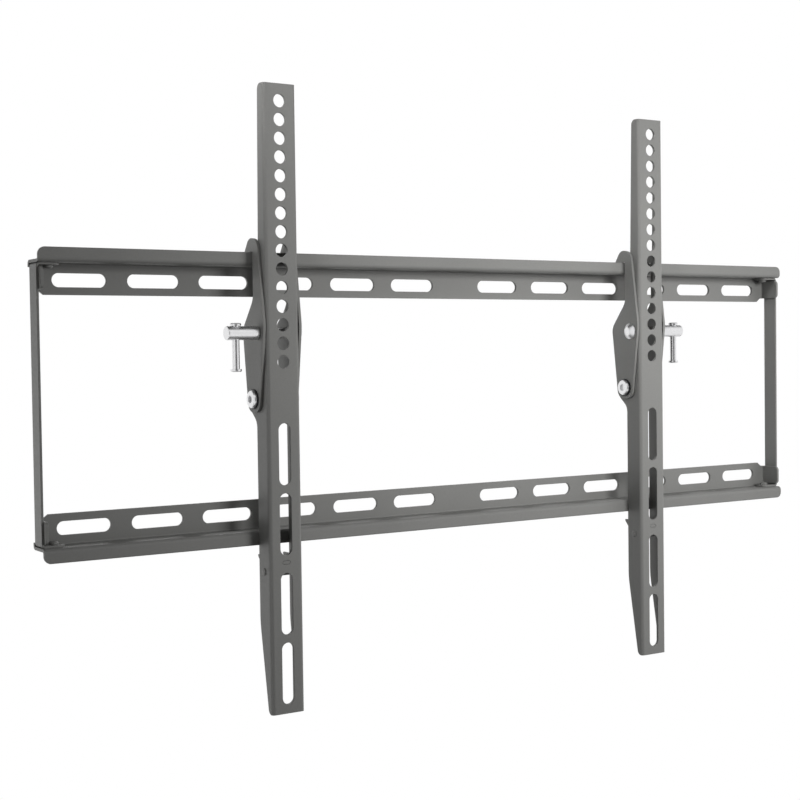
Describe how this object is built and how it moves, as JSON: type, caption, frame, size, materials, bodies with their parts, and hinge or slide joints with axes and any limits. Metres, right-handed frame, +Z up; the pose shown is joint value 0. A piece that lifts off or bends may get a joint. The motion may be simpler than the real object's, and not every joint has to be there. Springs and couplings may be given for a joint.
{
  "type": "tilting tv wall mount",
  "caption": "Folded-steel wall frame with slotted rails, and perforated arms that hook over the upper rail, tilt on a pivot and are locked by a clamp with a tommy bar.",
  "frame": {"origin": "on the wall plane, in the middle of the four outermost wall slots, at the height of the arms' pivots", "axes": "+X to the right along the rails as seen from the room, +Y into the wall, +Z up"},
  "size_m": [0.658, 0.036, 0.4249],
  "materials": {
    "grey_coat": "satin dark grey powder coat",
    "bright_zinc": "bright zinc plate",
    "black_oxide": "black oxide"
  },
  "bodies": {
    "wall_frame": {"upper_rail": "grey_coat", "lower_rail": "grey_coat", "left_end_bar": "grey_coat", "right_end_bar": "grey_coat", "corner_screws": "grey_coat", "corner_nuts": "grey_coat"},
    "left_hook": {"left_outer_hook_plate": "grey_coat", "left_inner_hook_plate": "grey_coat", "left_pivot_bolt": "bright_zinc", "left_pivot_sleeve_nut": "bright_zinc", "left_pivot_washers": "black_oxide", "left_clamp_bolt": "bright_zinc"},
    "left_arm_body": {"left_arm": "grey_coat", "left_safety_catch": "grey_coat", "left_catch_rivets": "grey_coat"},
    "left_handle": {"left_clamp_handle": "bright_zinc"},
    "left_bar": {"left_tommy_bar": "bright_zinc"},
    "right_hook": {"right_outer_hook_plate": "grey_coat", "right_inner_hook_plate": "grey_coat", "right_pivot_bolt": "bright_zinc", "right_pivot_sleeve_nut": "bright_zinc", "right_pivot_washers": "black_oxide", "right_clamp_bolt": "bright_zinc"},
    "right_arm_body": {"right_arm": "grey_coat", "right_safety_catch": "grey_coat", "right_catch_rivets": "grey_coat"},
    "right_handle": {"right_clamp_handle": "bright_zinc"},
    "right_bar": {"right_tommy_bar": "bright_zinc"}
  },
  "joints": [
    {"name": "left_hook_swing", "type": "hinge", "parent": "wall_frame", "child": "left_hook", "pos_m": [-0.166, -0.019, 0.0985], "axis": [-1, 0, 0], "range_deg": [0, 10]},
    {"name": "left_arm_tilt", "type": "hinge", "parent": "left_hook", "child": "left_arm_body", "pos_m": [-0.166, -0.0204, 0], "axis": [-1, 0, 0], "range_deg": [-19.6, 0]},
    {"name": "left_handle_turn", "type": "hinge", "parent": "left_hook", "child": "left_handle", "pos_m": [-0.1807, -0.0272, 0.04469], "axis": [-1, 0, 0], "continuous": true},
    {"name": "left_bar_slide", "type": "slide", "parent": "left_handle", "child": "left_bar", "axis": [0, 0, 1], "range_m": [0, 0.0191]},
    {"name": "right_hook_swing", "type": "hinge", "parent": "wall_frame", "child": "right_hook", "pos_m": [0.166, -0.019, 0.0985], "axis": [-1, 0, 0], "range_deg": [0, 10]},
    {"name": "right_arm_tilt", "type": "hinge", "parent": "right_hook", "child": "right_arm_body", "pos_m": [0.166, -0.0204, 0], "axis": [-1, 0, 0], "range_deg": [-19.6, 0]},
    {"name": "right_handle_turn", "type": "hinge", "parent": "right_hook", "child": "right_handle", "pos_m": [0.1807, -0.0272, 0.04469], "axis": [1, 0, 0], "continuous": true},
    {"name": "right_bar_slide", "type": "slide", "parent": "right_handle", "child": "right_bar", "axis": [0, 0, 1], "range_m": [0, 0.0191]}
  ],
  "couplings": [
    {"joint": "left_arm_tilt", "follows": "left_hook_swing", "ratio": -1.96},
    {"joint": "right_arm_tilt", "follows": "right_hook_swing", "ratio": -1.96}
  ]
}
